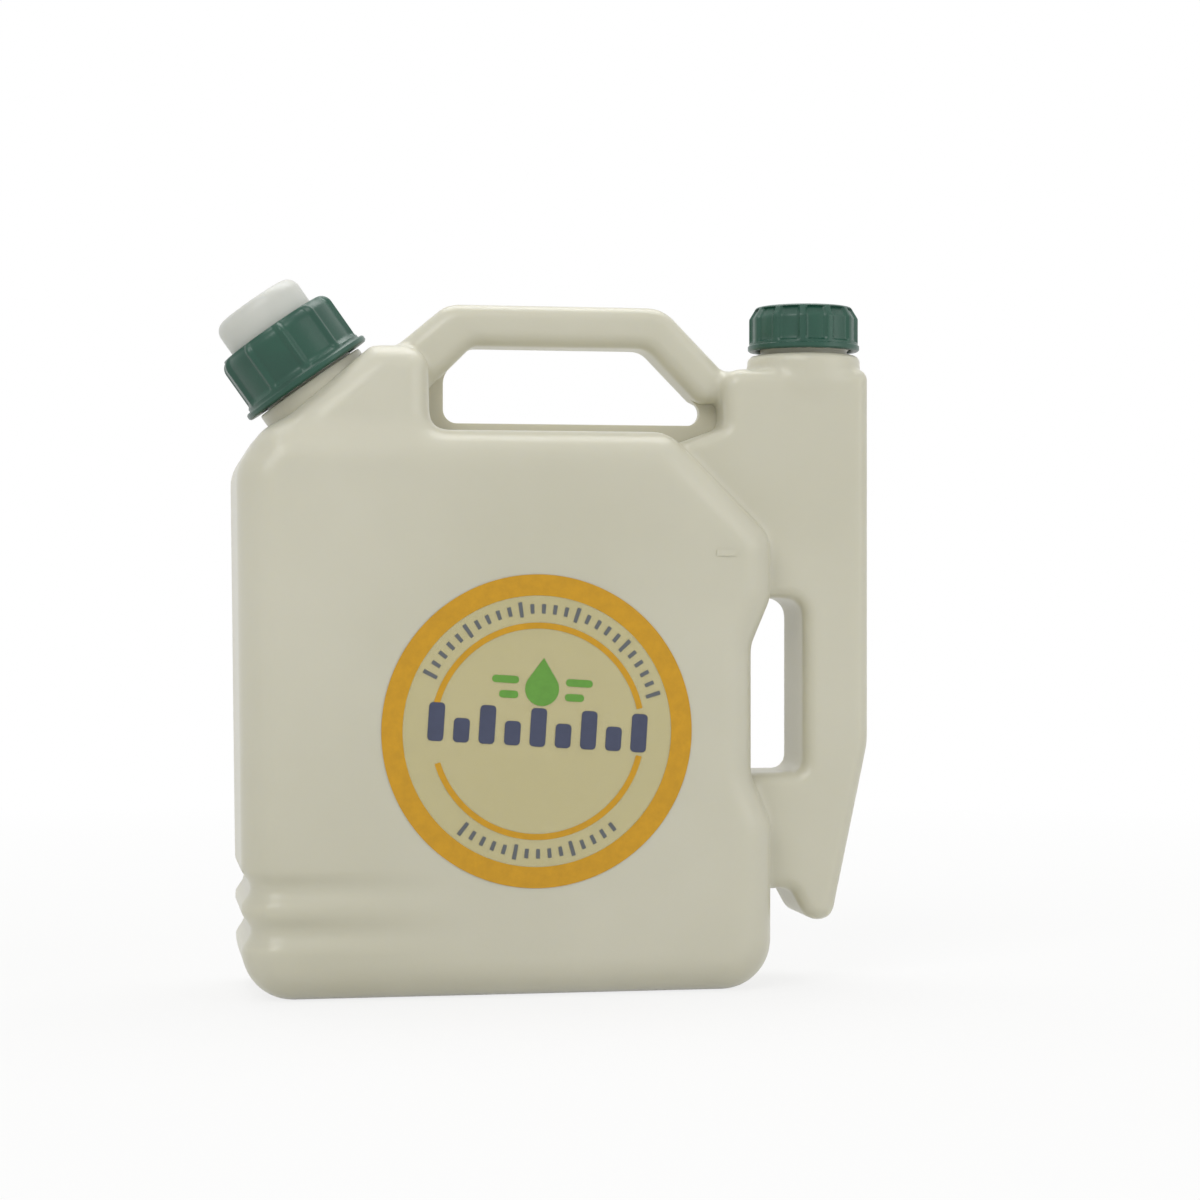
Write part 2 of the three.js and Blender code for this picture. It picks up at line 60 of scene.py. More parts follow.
def roundedOutline(corners, turn=7.0):
    # corners are (x, z, radius), counter-clockwise seen from the front
    points = []
    count = len(corners)
    for i, (cx, cz, radius) in enumerate(corners):
        px, pz = corners[i - 1][:2]
        nx, nz = corners[(i + 1) % count][:2]
        corner = np.array([cx, cz], float)
        back = np.array([px - cx, pz - cz], float)
        ahead = np.array([nx - cx, nz - cz], float)
        room = min(np.linalg.norm(back), np.linalg.norm(ahead)) * 0.49
        back /= np.linalg.norm(back)
        ahead /= np.linalg.norm(ahead)
        half = math.acos(float(np.clip(back @ ahead, -1, 1))) / 2
        if radius <= 0 or half > 1.55:
            points.append(corner)
            continue
        reach = min(radius / math.tan(half), room)
        bend = reach * math.tan(half)
        middle = (back + ahead) / np.linalg.norm(back + ahead) * (bend / math.sin(half)) + corner
        start = corner + back * reach - middle
        end = corner + ahead * reach - middle
        sweep = math.atan2(start[0] * end[1] - start[1] * end[0], float(start @ end))
        steps = max(3, math.ceil(abs(math.degrees(sweep)) / turn))
        for s in range(steps + 1):
            a = sweep * s / steps
            points.append(middle + [start[0] * math.cos(a) - start[1] * math.sin(a),
                                    start[0] * math.sin(a) + start[1] * math.cos(a)])
    return np.array(points)


def outlineDistance(x, z, points):
    # signed distance in the X-Z plane to a closed outline, negative inside
    x, z = np.broadcast_arrays(x, z)
    nearest = np.full(x.shape, 1e12)
    inside = np.zeros(x.shape, bool)
    for (ax, az), (bx, bz) in zip(points, np.roll(points, -1, axis=0)):
        ex, ez = bx - ax, bz - az
        length = ex * ex + ez * ez
        if length < 1e-10:
            continue
        wx, wz = x - ax, z - az
        t = np.clip((wx * ex + wz * ez) / length, 0, 1)
        nearest = np.minimum(nearest, (wx - ex * t) ** 2 + (wz - ez * t) ** 2)
        if abs(ez) > 1e-9:
            crosses = (az > z) != (bz > z)
            inside ^= crosses & (x < ex * wz / ez + ax)
    return np.sqrt(nearest) * np.where(inside, -1.0, 1.0)


def slab(flat, y, halfDepth, edge):
    # a flat outline given thickness across Y, its long edges rounded
    a = flat + edge
    b = np.abs(y) - halfDepth + edge
    return np.hypot(np.maximum(a, 0), np.maximum(b, 0)) + np.minimum(np.maximum(a, b), 0) - edge


def join(a, b, soft):
    h = np.clip(0.5 + 0.5 * (b - a) / soft, 0, 1)
    return b + (a - b) * h - soft * h * (1 - h)


def smoothStep(low, high, v):
    t = np.clip((v - low) / (high - low), 0, 1)
    return t * t * (3 - 2 * t)


def netFromField(field, lows, highs, cell, passes):
    # closed mesh of the surface where the field is zero
    axes = [np.arange(lo, hi + cell, cell) for lo, hi in zip(lows, highs)]
    x, y, z = axes[0][:, None, None], axes[1][None, :, None], axes[2][None, None, :]
    value = np.broadcast_to(field(x, y, z), [len(a) for a in axes]).astype(np.float64)
    value = np.where(np.abs(value) < 1e-6, 1e-6, value)
    inside = value < 0
    nx, ny, nz = value.shape
    total = np.zeros((nx - 1, ny - 1, nz - 1))
    spot = np.zeros((nx - 1, ny - 1, nz - 1, 3))
    offsets = [(0, 0), (0, 1), (1, 0), (1, 1)]
    for axis in range(3):
        others = [a for a in range(3) if a != axis]
        for o1, o2 in offsets:
            lo = [slice(0, -1)] * 3
            lo[others[0]] = slice(o1, value.shape[others[0]] - 1 + o1)
            lo[others[1]] = slice(o2, value.shape[others[1]] - 1 + o2)
            hi = list(lo)
            hi[axis] = slice(1, None)
            v0, v1 = value[tuple(lo)], value[tuple(hi)]
            cross = (v0 < 0) != (v1 < 0)
            t = np.where(cross, v0 / np.where(cross, v0 - v1, 1), 0)
            total += cross
            spot[..., axis] += np.where(cross, t, 0)
            spot[..., others[0]] += cross * o1
            spot[..., others[1]] += cross * o2
    active = total > 0
    number = np.full(active.shape, -1)
    number[active] = np.arange(active.sum())
    cells = np.argwhere(active)
    points = (cells + spot[active] / total[active][:, None]) * cell + np.array(lows)
    faces = []
    for axis in range(3):
        a1, a2 = [(1, 2), (2, 0), (0, 1)][axis]
        lo = [slice(1, -1)] * 3
        lo[axis] = slice(0, -1)
        hi = list(lo)
        hi[axis] = slice(1, None)
        v0, v1 = inside[tuple(lo)], inside[tuple(hi)]
        where = np.argwhere(v0 != v1)
        base = where + 1
        base[:, axis] -= 1
        step1, step2 = np.zeros(3, int), np.zeros(3, int)
        step1[a1], step2[a2] = 1, 1
        ring = [base - step1 - step2, base - step2, base, base - step1]
        quad = np.stack([number[tuple(r.T)] for r in ring], axis=1)
        outward = v0[tuple(where.T)]
        quad[~outward] = quad[~outward][:, ::-1]
        faces.append(quad)
    for pull in range(passes):   # pull the points onto the true surface
        px, py, pz = points.T
        d = field(px, py, pz)
        h = 0.25
        grad = np.stack([field(px + h, py, pz) - field(px - h, py, pz),
                         field(px, py + h, pz) - field(px, py - h, pz),
                         field(px, py, pz + h) - field(px, py, pz - h)], axis=1) / (2 * h)
        size = np.maximum((grad ** 2).sum(axis=1), 0.3)
        move = grad * (d / size)[:, None]
        far = np.linalg.norm(move, axis=1, keepdims=True)
        points = points - move * np.minimum(1, 0.6 * cell / np.maximum(far, 1e-9))
    return points, np.concatenate(faces)


def meshObject(name, points, faces, matrix=None):
    mesh = bpy.data.meshes.new(name)
    verts = [tuple(p) for p in np.asarray(points) * mm]
    mesh.from_pydata(verts, [], [tuple(int(i) for i in f) for f in faces])
    mesh.validate()
    if matrix is not None:
        mesh.transform(matrix)
    mesh.update()
    obj = bpy.data.objects.new(name, mesh)
    bpy.context.scene.collection.objects.link(obj)
    return obj


def turnedObject(name, profile, matrix, segments=96, ripple=None, loop=False):
    # profile of (radius, height) about +Z, closed on the axis or (loop) on itself
    points, rows = [], []
    for radius, height in profile:
        if radius < 1e-6 and not loop:
            rows.append([len(points)])
            points.append((0, 0, height))
            continue
        row = []
        for s in range(segments):
            a = 2 * math.pi * s / segments
            r = ripple(a, radius, height) if ripple else radius
            row.append(len(points))
            points.append((r * math.cos(a), r * math.sin(a), height))
        rows.append(row)
    faces = []
    pairs = list(zip(rows, rows[1:]))
    if loop:
        pairs.append((rows[-1], rows[0]))
    for low, high in pairs:
        for s in range(segments):
            n = (s + 1) % segments
            if len(low) == 1 and len(high) > 1:
                faces.append((low[0], high[n], high[s]))
            elif len(high) == 1 and len(low) > 1:
                faces.append((low[s], low[n], high[0]))
            elif len(low) > 1:
                faces.append((low[s], low[n], high[n], high[s]))
    return meshObject(name, points, faces, matrix)


def finer(profile, step):
    # the same profile with long runs broken up
    out = [profile[0]]
    for (r0, h0), (r1, h1) in zip(profile, profile[1:]):
        parts = max(1, math.ceil(math.hypot(r1 - r0, h1 - h0) / step))
        out += [(r0 + (r1 - r0) * k / parts, h0 + (h1 - h0) * k / parts) for k in range(1, parts + 1)]
    return out


def arcRun(centreR, centreH, radius, startDeg, endDeg, steps):
    out = []
    for k in range(steps + 1):
        a = math.radians(startDeg + (endDeg - startDeg) * k / steps)
        out.append((centreR + radius * math.cos(a), centreH + radius * math.sin(a)))
    return out


def combine(target, other, operation):
    mod = target.modifiers.new("combine", "BOOLEAN")
    mod.operation = operation
    mod.solver = "MANIFOLD"
    mod.object = other
    bpy.context.view_layer.update()
    depsgraph = bpy.context.evaluated_depsgraph_get()
    done = bpy.data.meshes.new_from_object(target.evaluated_get(depsgraph))
    target.modifiers.clear()
    old = target.data
    target.data = done
    bpy.data.meshes.remove(old)
    bpy.data.objects.remove(other, do_unlink=True)


def shadeSmooth(obj, angle=38):
    mesh = obj.data
    mesh.polygons.foreach_set("use_smooth", [True] * len(mesh.polygons))
    work = bmesh.new()
    work.from_mesh(mesh)
    limit = math.radians(angle)
    for edge in work.edges:
        edge.smooth = len(edge.link_faces) != 2 or edge.calc_face_angle(0) < limit
    work.to_mesh(mesh)
    work.free()


def threadHeight(angle, height, pitch, low, high, shift=0.0):
    # how far a right-handed thread stands up at this place, 0 to 1
    phase = (height / pitch - angle / (2 * math.pi) + shift) % 1.0
    ridge = 1 - smoothStep(0.16, 0.30, abs(phase - 0.5))
    ends = smoothStep(low, low + 1.2, height) * (1 - smoothStep(high - 1.2, high, height))
    return float(ridge * ends)


def newMaterial(name):
    material = bpy.data.materials.new(name)
    material.use_nodes = True
    tree = material.node_tree
    tree.nodes.clear()
    out = tree.nodes.new("ShaderNodeOutputMaterial")
    shader = tree.nodes.new("ShaderNodeBsdfPrincipled")
    tree.links.new(shader.outputs["BSDF"], out.inputs["Surface"])
    return material, tree, shader


def noise(tree, scale, detail, rough=0.5):
    node = tree.nodes.new("ShaderNodeTexNoise")
    node.inputs["Scale"].default_value = scale
    node.inputs["Detail"].default_value = detail
    node.inputs["Roughness"].default_value = rough
    place = tree.nodes.new("ShaderNodeTexCoord")
    tree.links.new(place.outputs["Object"], node.inputs["Vector"])
    return node


def ramp(tree, source, stops):
    node = tree.nodes.new("ShaderNodeValToRGB")
    while len(node.color_ramp.elements) < len(stops):
        node.color_ramp.elements.new(0.5)
    for element, (position, colour) in zip(node.color_ramp.elements, stops):
        element.position = position
        element.color = (*colour, 1)
    tree.links.new(source, node.inputs["Fac"])
    return node


def spread(tree, source, low, high):
    node = tree.nodes.new("ShaderNodeMapRange")
    node.inputs["To Min"].default_value = low
    node.inputs["To Max"].default_value = high
    tree.links.new(source, node.inputs["Value"])
    return node


def bumpFrom(tree, source, strength, distance):
    node = tree.nodes.new("ShaderNodeBump")
    node.inputs["Strength"].default_value = strength
    node.inputs["Distance"].default_value = distance
    tree.links.new(source, node.inputs["Height"])
    return node


def linear(r, g, b):
    # the colour as read off a screen, 0 to 255
    return tuple(((c / 255 + 0.055) / 1.055) ** 2.4 if c > 10 else c / 255 / 12.92 for c in (r, g, b))


def mouldedPlastic(name, look):
    material, tree, shader = newMaterial(name)
    cloud = noise(tree, look["cloudScale"], 3)
    tint = ramp(tree, cloud.outputs["Fac"], [(0.3, look["dark"]), (0.7, look["light"])])
    tree.links.new(tint.outputs["Color"], shader.inputs["Base Color"])
    grain = noise(tree, look["grainScale"], 2)
    gloss = spread(tree, grain.outputs["Fac"], look["roughness"] - 0.05, look["roughness"] + 0.05)
    tree.links.new(gloss.outputs["Result"], shader.inputs["Roughness"])
    bump = bumpFrom(tree, grain.outputs["Fac"], look["bump"], 0.0004)
    tree.links.new(bump.outputs["Normal"], shader.inputs["Normal"])
    shader.inputs["Subsurface Weight"].default_value = look.get("glow", 0.0)
    shader.inputs["Subsurface Radius"].default_value = look.get("glowReach", (1.0, 0.9, 0.7))
    shader.inputs["Subsurface Scale"].default_value = 0.004
    shader.inputs["IOR"].default_value = 1.5
    return material


milkyPlastic = mouldedPlastic("milky_polyethylene", dict(
    dark=linear(203, 200, 180), light=linear(212, 209, 191), cloudScale=9.0,
    grainScale=420.0, roughness=0.32, bump=0.08, glow=0.35, glowReach=(1.0, 0.92, 0.68)))
greenPlastic = mouldedPlastic("green_cap_plastic", dict(
    dark=linear(24, 70, 56), light=linear(29, 80, 63), cloudScale=60.0,
    grainScale=700.0, roughness=0.34, bump=0.12))
whitePlastic = mouldedPlastic("white_spout_plastic", dict(
    dark=linear(200, 202, 194), light=linear(210, 211, 204), cloudScale=40.0,
    grainScale=600.0, roughness=0.38, bump=0.10, glow=0.2))
sealFoam = mouldedPlastic("seal_foam", dict(
    dark=linear(205, 203, 196), light=linear(216, 214, 207), cloudScale=300.0,
    grainScale=1500.0, roughness=0.8, bump=0.5))


body = dict(
    cell=1.75,       # mesh size outside and inside
    innerCell=2.6,
    passes=2,
    wall=1.7, wallBetween=1.6,
    left=-113.2, right=117.3, halfDepth=38.0, edge=14.0,
    grooveHeights=(39.5, 24.5), grooveWidth=13.0, grooveDepth=3.2, grooveFade=120.0,
    shoulderSoft=7.0, handleSoft=3.0, webSoft=4.0,
    shoulderFoot=188.0, shoulderRise=42.0, shoulderHalf=33.8, shoulderTaper=8.3, shoulderEdge=9.0,
    webHalf=19.0, webEdge=5.5, handleHalf=12.0, handleEdge=6.2,
    collarRadius=20.8, collarRound=2.6, collarLean=8.0, collarFoot=199.0, collarFull=221.0,
    collarMiddle=212.0, collarSoft=2.5,
    finHalf=1.6, bandRadius=21.4, bandTop=-0.8, bandFoot=-17.0,
    mark=(58.9, 155.5, 7.0, 2.2, 0.4),      # x, foot, width, height, how far it stands out
)

tankOutline = roundedOutline([
    (-111, 0, 18), (77.8, 0, 18), (77.8, 60, 12), (70.6, 77, 12), (70.6, 123.5, 12),
    (77.8, 140.5, 14), (77.8, 163, 14), (40.3, 200, 14), (-101, 200, 8), (-113.2, 187, 14)])
shoulderOutline = roundedOutline([
    (-105, 176, 2), (-45.3, 176, 2), (-45.3, 230.4, 9), (-65.2, 230.1, 5), (-105, 195.4, 6)])
slotCorners = [(-38, 203.8, 5), (62.9, 203.8, 4.5), (35.9, 231.3, 8), (-28, 231.3, 6), (-38, 221.3, 8)]
slotOutline = roundedOutline(slotCorners)
handleOutline = roundedOutline([
    (-73, 216.3, 7.5), (-57.3, 203.3, 7.5), slotCorners[4], slotCorners[3], slotCorners[2],
    (58.04, 208.75, 7), (68.59, 219.11, 7), (41.9, 246.3, 14), (-37, 246.3, 12)])
webOutline = roundedOutline([
    (68.8, 34.7, 7), (87.7, 34.7, 5), (94.2, 23, 6.6), (103.4, 23, 6.6), (117, 87.5, 30),
    (117, 224.5, 4), (62.2, 223.7, 6.8), (63.4, 202.8, 4), (28.3, 190, 7), (68.8, 157, 7),
    (68.8, 140.5, 6.8), (92.7, 140.5, 7), (92.7, 76.9, 5), (68.8, 76.9, 6.8)])
finOutline = roundedOutline([
    (-58, 193, 2), (63, 193, 2), (66, 212, 2), (41, 240, 2), (-36, 240, 2), (-52, 226, 2)])

neckTilt = math.radians(35.4)
neckFoot = Vector((-86.4, 0, 218.6))
neckMatrix = Matrix.Translation(neckFoot * mm) @ Matrix.Rotation(-neckTilt, 4, "Y")
oilAxisX, collarTop = 96.6, 230.1
oilMatrix = Matrix.Translation(Vector((oilAxisX * mm, 0, 0)))


def alongNeck(x, y, z):
    # height along the neck's axis and distance from it
    dx, dz = x - neckFoot.x, z - neckFoot.z
    s = -dx * math.sin(neckTilt) + dz * math.cos(neckTilt)
    across = dx * math.cos(neckTilt) + dz * math.sin(neckTilt)
    return s, np.hypot(across, y)


def tankField(x, y, z):
    flat = outlineDistance(x, z, tankOutline)
    sink = 0
    for height in body["grooveHeights"]:
        sink = sink + np.cos(np.clip((z - height) / body["grooveWidth"], -0.5, 0.5) * math.pi) ** 1.6
    reach = 1 - smoothStep(body["left"], body["left"] + body["grooveFade"], x)
    return slab(flat, y, body["halfDepth"], body["edge"]) + body["grooveDepth"] * sink * reach * reach


def shoulderField(x, y, z):
    # the shoulder thins as it rises
    rise = np.clip((z - body["shoulderFoot"]) / body["shoulderRise"], 0, 1)
    half = body["shoulderHalf"] - body["shoulderTaper"] * rise ** 1.3
    block = slab(outlineDistance(x, z, shoulderOutline), y, half, body["shoulderEdge"])
    s, r = alongNeck(x, y, z)
    root = np.maximum(r - body["bandRadius"] + 2.5, np.abs(s + 10.5) - 7.0)   # under the neck's band
    return join(block, root, 2.0)


def chamberField(x, y, z):
    web = slab(outlineDistance(x, z, webOutline), y, body["webHalf"], body["webEdge"])
    lean = body["collarLean"] * (1 - smoothStep(body["collarFoot"], body["collarFull"], z))
    r = np.hypot(x - oilAxisX, y) - body["collarRadius"] + lean
    middle = body["collarMiddle"]
    collar = slab(r, z - middle, collarTop - middle, body["collarRound"])
    return join(web, collar, body["collarSoft"])


def handleField(x, y, z):
    return slab(outlineDistance(x, z, handleOutline), y, body["handleHalf"], body["handleEdge"])


def bodyField(x, y, z):
    d = join(tankField(x, y, z), shoulderField(x, y, z), body["shoulderSoft"])
    d = join(d, handleField(x, y, z), body["handleSoft"])
    d = join(d, chamberField(x, y, z), body["webSoft"])
    # blends may not swell past the moulding's own faces
    d = np.maximum(d, np.abs(y) - body["halfDepth"])
    return np.maximum(d, np.maximum(body["left"] - x, x - body["right"]))


def hollowField(x, y, z):
    w = body["wall"]
    tank = tankField(x, y, z)
    main = join(tank, shoulderField(x, y, z), body["shoulderSoft"])
    d = join(main, handleField(x, y, z), body["handleSoft"]) + w
    chamber = join(chamberField(x, y, z), handleField(x, y, z), body["handleSoft"]) + w
    side = np.maximum(chamber, body["wallBetween"] - main)   # the tank's own wall stays
    return np.minimum(d, side)


body["lows"], body["highs"] = (-118.0, -41.5, -3.5), (121.0, 41.5, 250.0)
print("body: outer skin")
outerNet = netFromField(bodyField, body["lows"], body["highs"], body["cell"], body["passes"])
skin = meshObject("milkyBody", *outerNet)
print("body: hollow")
innerNet = netFromField(hollowField, body["lows"], body["highs"], body["innerCell"], body["passes"])
hollow = meshObject("hollow", *innerNet)

neckSize = dict(root=17.8, bore=15.4, lip=16.2, pitch=4.0, thread=1.5, threadLow=1.2, threadHigh=14.2)
oilSize = dict(root=16.0, bore=13.8, lip=13.8, pitch=4.0, thread=1.25, threadLow=1.6, threadHigh=12.2)


def neckFinish(name, size, matrix, base, foot):
    # threaded tube that stands on the body, as a solid, and the bore that opens it
    def ripple(angle, radius, height):
        if radius < size["root"] - 0.05:
            return radius
        return radius + size["thread"] * threadHeight(
            angle, height - base, size["pitch"], size["threadLow"], size["threadHigh"])
    top = base + size["lip"]
    wallRun = finer([(size["root"], foot), (size["root"], top - 0.8)], 0.5)
    profile = [(0, foot)] + wallRun + arcRun(size["root"] - 0.8, top - 0.8, 0.8, 15, 90, 4) + [(0, top)]
    tube = turnedObject(name, profile, matrix, 128, ripple)
    inner, flared = size["bore"], size["bore"] + 0.6
    cut = [(0, foot - 9), (inner, foot - 9), (inner, top - 0.5), (flared, top + 0.2), (flared, top + 2),
           (0, top + 2)]
    bore = turnedObject(name + "Bore", cut, matrix, 96)
    return tube, bore


def prismParts(points, front, back):
    # points and faces of an outline in X-Z made solid between two depths
    n = len(points)
    corners = [(px, front, pz) for px, pz in points] + [(px, back, pz) for px, pz in points]
    faces = [tuple(range(n)), tuple(range(2 * n - 1, n - 1, -1))]
    faces += [(i, i + n, (i + 1) % n + n, (i + 1) % n) for i in range(n)]
    return corners, faces


def prism(name, points, front, back):
    solid = meshObject(name, *prismParts(points, front, back))
    work = bmesh.new()
    work.from_mesh(solid.data)
    bmesh.ops.recalc_face_normals(work, faces=work.faces)
    bmesh.ops.triangulate(work, faces=work.faces)
    work.to_mesh(solid.data)
    work.free()
    return solid


# thin pinched web round the grip opening, crisp at its cut edge
pinched = prism("pinchedWeb", finOutline, -body["finHalf"], body["finHalf"])
combine(pinched, prism("gripCut", slotOutline, -9, 9), "DIFFERENCE")
markX, markZ, markWidth, markHeight, markRise = body["mark"]
markLeft, markRight, markTop = markX - markWidth / 2, markX + markWidth / 2, markZ + markHeight
markCorners = [(markLeft, markZ), (markRight, markZ), (markRight, markTop), (markLeft, markTop)]
levelMark = prism("levelMark", markCorners, -body["halfDepth"] - markRise, -body["halfDepth"] + markRise)
bandRadius, bandTop, bandFoot = body["bandRadius"], body["bandTop"], body["bandFoot"]
bandProfile = finer([(0, bandFoot), (bandRadius, bandFoot), (bandRadius, bandTop - 0.6)], 2)
bandProfile += [(bandRadius - 0.2, bandTop - 0.15), (bandRadius - 0.6, bandTop), (0, bandTop)]
neckBand = turnedObject("neckBand", bandProfile, neckMatrix, 128)

neckTube, neckBore = neckFinish("neckTube", neckSize, neckMatrix, 0.0, -5.0)
oilTube, oilBore = neckFinish("oilTube", oilSize, oilMatrix, collarTop, collarTop - 3.5)
for solid in (pinched, levelMark, neckBand, neckTube, oilTube):
    combine(skin, solid, "UNION")
for cutter in (hollow, neckBore, oilBore):
    combine(skin, cutter, "DIFFERENCE")
print("body:", len(skin.data.polygons), "faces")
shadeSmooth(skin, 42)
skin.data.materials.clear()
skin.data.materials.append(milkyPlastic)
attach(skin, "bottle")
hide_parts("bottle")


ring = dict(height=22.6, radius=23.6, lipRadius=25.4, lipHeight=2.4, round=4.2, hole=17.3, inside=20.1,
            land=2.1, panels=10, panelDepth=1.2, panelShare=0.84, thread=1.3, turn=0.5)


def panelWave(angle, count, share, turn):
    # 1 on the sunk panels, 0 on the ribs between them
    phase = (angle * count / (2 * math.pi) + turn) % 1.0
    return float(1 - smoothStep(share / 2 - 0.05, share / 2 + 0.07, abs(phase - 0.5)))


def ringRipple(angle, radius, height):
    if radius > ring["inside"] + 1 and height > ring["lipHeight"] + 0.5:
        fade = smoothStep(ring["lipHeight"] + 1.2, ring["lipHeight"] + 2.6, height)
        fade *= 1 - smoothStep(ring["height"] - 1.2, ring["height"], height)
        wave = panelWave(angle, ring["panels"], ring["panelShare"], ring["turn"])
        return radius - ring["panelDepth"] * fade * wave
    if abs(radius - ring["inside"]) < 0.05:
        return radius - ring["thread"] * threadHeight(angle, height, neckSize["pitch"], 1.6, 15.6, 0.5)
    return radius


ringProfile = finer([(ring["inside"], 0.6), (ring["inside"] + 0.6, 0), (ring["lipRadius"] - 0.6, 0),
                     (ring["lipRadius"], 0.6), (ring["lipRadius"], ring["lipHeight"] - 0.5),
                     (ring["lipRadius"] - 0.5, ring["lipHeight"]), (ring["radius"] + 0.3, ring["lipHeight"]),
                     (ring["radius"], ring["lipHeight"] + 0.4),
                     (ring["radius"], ring["height"] - ring["round"])], 0.8)
topRound = ring["round"]
ringProfile += finer(arcRun(ring["radius"] - topRound, ring["height"] - topRound, topRound, 12, 90, 8), 1.2)
ringProfile += [(ring["hole"] + 0.6, ring["height"]), (ring["hole"], ring["height"] - 0.5),
                (ring["hole"], ring["height"] - ring["land"])]
ringProfile += finer([(ring["inside"] - 0.06, ring["height"] - ring["land"]),
                      (ring["inside"], ring["height"] - ring["land"] - 0.1), (ring["inside"], 1.0)], 0.5)
neckRing = turnedObject("neckRing", ringProfile, neckMatrix, 240, ringRipple, loop=True)
neckRing.data.materials.append(greenPlastic)
shadeSmooth(neckRing)
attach(neckRing, "ring")
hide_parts("neck_ring")
print("screw ring done")


spout = dict(flange=19.5, thick=2.0, tube=14.4, bore=12.8, plug=9.2, plugWall=1.6, rise=12.0,
             seat=0.3, gasket=1.4)
flangeLow = neckSize["lip"] + spout["seat"] * 2 + spout["gasket"]
flangeHigh = flangeLow + spout["thick"]
tubeTop = flangeHigh + spout["rise"]
plugR = spout["bore"] + spout["plugWall"] - 0.5
plugFoot, flangeR, tubeR = flangeLow - spout["plug"], spout["flange"], spout["tube"]
spoutProfile = [(spout["bore"] - 0.5, plugFoot), (plugR - 0.6, plugFoot), (plugR, plugFoot + 1.2),
                (plugR, flangeLow), (flangeR - 0.3, flangeLow), (flangeR, flangeLow + 0.3),
                (flangeR, flangeHigh - 0.3), (flangeR - 0.3, flangeHigh), (tubeR + 0.5, flangeHigh),
                (tubeR, flangeHigh + 0.5)]
spoutProfile += [(tubeR, tubeTop - 3), (tubeR + 0.15, tubeTop - 2.4), (tubeR, tubeTop - 1.8)]
spoutProfile += arcRun(tubeR - 0.7, tubeTop - 0.7, 0.7, 0, 180, 8)[:-1]
spoutProfile += [(spout["bore"], tubeTop - 1.0), (spout["bore"], flangeHigh)]
pourSpout = turnedObject("pourSpout", finer(spoutProfile, 3), neckMatrix, 96, loop=True)
pourSpout.data.materials.append(whitePlastic)
shadeSmooth(pourSpout)
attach(pourSpout, "spout")
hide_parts("pour_spout")

sealLow = neckSize["lip"] + spout["seat"]
sealProfile = [(14.1, sealLow + 0.2), (14.3, sealLow), (19.0, sealLow), (19.2, sealLow + 0.2),
               (19.2, sealLow + 1.2), (19.0, sealLow + 1.4), (14.3, sealLow + 1.4), (14.1, sealLow + 1.2)]
spoutGasket = turnedObject("spoutGasket", sealProfile, neckMatrix, 96, loop=True)
spoutGasket.data.materials.append(sealFoam)
shadeSmooth(spoutGasket)
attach(spoutGasket, "spout")
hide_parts("spout_gasket")

lid = dict(wall=2.07, crown=1.97, round=4.6, gap=0.4)
lidIn = spout["tube"] + lid["gap"]
lidOut = lidIn + lid["wall"]
lidLow = flangeHigh + spout["seat"]
lidTop = tubeTop + spout["seat"] + lid["crown"]
lidRoof = lidTop - lid["crown"]
lidProfile = [(0, lidRoof), (lidIn - 0.8, lidRoof), (lidIn, lidRoof - 0.8), (lidIn, lidLow + 0.3),
              (lidIn + 0.3, lidLow), (lidOut - 0.3, lidLow), (lidOut, lidLow + 0.3)]
lidProfile += arcRun(lidOut - lid["round"], lidTop - lid["round"], lid["round"], 0, 88, 10)
lidProfile += [(9.0, lidTop), (8.4, lidTop - 0.12), (7.8, lidTop - 0.25), (1.2, lidTop - 0.25),
               (0.8, lidTop - 0.3), (0, lidTop - 0.3)]
spoutLid = turnedObject("spoutLid", finer(lidProfile, 2.5), neckMatrix, 96)
spoutLid.data.materials.append(whitePlastic)
shadeSmooth(spoutLid)
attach(spoutLid, "spout_lid")
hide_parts("spout_cap")
print("spout done")


cap = dict(low=collarTop + 1.7, radius=20.1, lipRadius=20.6, lipHeight=2.2, crown=2.3, inside=17.7,
           panels=12, panelDepth=1.1, panelShare=0.7, thread=1.2, turn=0.5)
ceiling = collarTop + oilSize["lip"] + 0.3 + 1.2 + 0.3
capTop = ceiling + cap["crown"]


def capRipple(angle, radius, height):
    lip = cap["low"] + cap["lipHeight"]
    if radius > cap["inside"] + 0.4 and height > lip + 0.3:
        fade = smoothStep(lip + 0.5, lip + 1.6, height)
        wave = panelWave(angle, cap["panels"], cap["panelShare"], cap["turn"])
        return radius - cap["panelDepth"] * fade * wave
    if abs(radius - cap["inside"]) < 0.05:
        ridge = threadHeight(angle, height - collarTop, oilSize["pitch"], 2.4, 13.0, 0.5)
        return radius - cap["thread"] * ridge
    return radius


capProfile = [(0, ceiling), (cap["inside"] - 0.5, ceiling)]
capProfile += finer([(cap["inside"], ceiling - 0.5), (cap["inside"], cap["low"] + 0.6)], 0.5)
capProfile += [(cap["inside"] + 0.5, cap["low"]), (cap["lipRadius"] - 0.5, cap["low"])]
lipTop = cap["low"] + cap["lipHeight"]
capProfile += finer([(cap["lipRadius"], cap["low"] + 0.5), (cap["lipRadius"], lipTop - 0.4),
                     (cap["radius"], lipTop), (cap["radius"], capTop - 4.5)], 0.7)
capProfile += finer([(cap["radius"] - 0.1, capTop - 4.1), (cap["radius"] - 2.2, capTop - 0.6)], 0.8)
capProfile += [(cap["radius"] - 2.6, capTop - 0.15), (cap["radius"] - 3.3, capTop)]
capProfile += [(14.4, capTop), (13.8, capTop - 0.15), (13.2, capTop - 0.5), (0, capTop - 0.5)]
oilCap = turnedObject("oilCap", capProfile, oilMatrix, 240, capRipple)
oilCap.data.materials.append(greenPlastic)
shadeSmooth(oilCap)
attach(oilCap, "oil_lid")
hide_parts("oil_cap")

